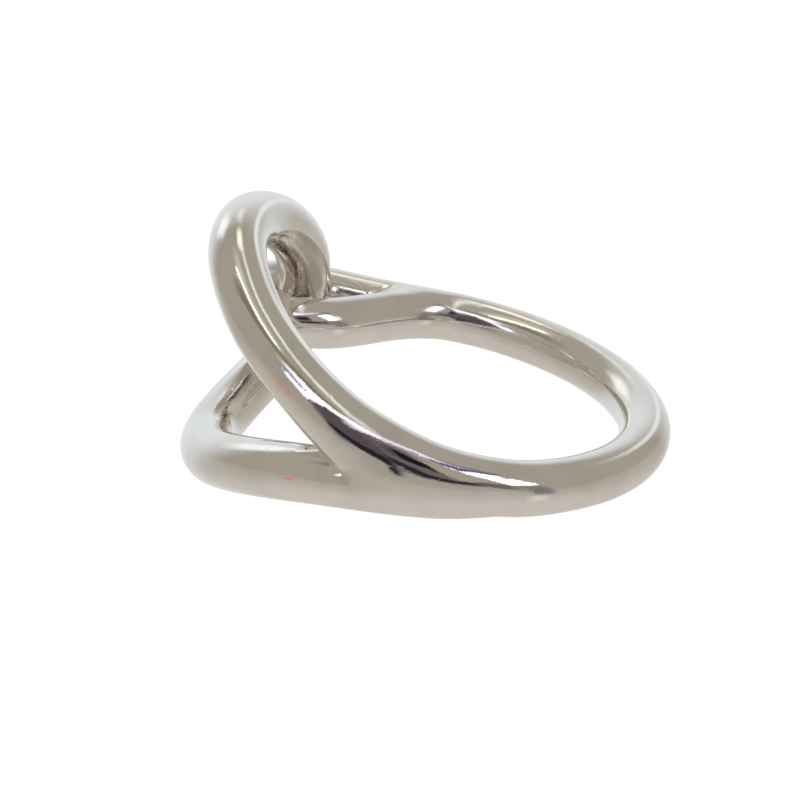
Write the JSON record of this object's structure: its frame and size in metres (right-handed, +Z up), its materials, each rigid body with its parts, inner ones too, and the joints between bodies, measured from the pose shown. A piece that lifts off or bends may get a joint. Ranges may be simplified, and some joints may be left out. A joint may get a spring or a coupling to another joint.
{
  "type": "finger ring",
  "caption": "Polished metal finger ring: a round wire shank, a wide teardrop loop over the finger, and a small eye closed round the loop",
  "frame": {"origin": "Under the middle of the bounding box, on the surface that the ring lies on", "axes": "+Z up, +X towards the back of the shank, +Y towards the eye; the ring lies in its rest pose, its shank tilted 12.75 degrees about Y"},
  "size_m": [0.0202, 0.0212, 0.0115],
  "materials": {
    "polished_silver": "mirror polish with faint wear scratches"
  },
  "bodies": {
    "root": {"shank": "polished_silver", "upper_arm": "polished_silver", "lower_arm": "polished_silver", "eye_outer_leg": "polished_silver", "eye_inner_leg": "polished_silver", "near_fork_solder": "polished_silver", "eye_solder": "polished_silver"}
  },
  "joints": []
}
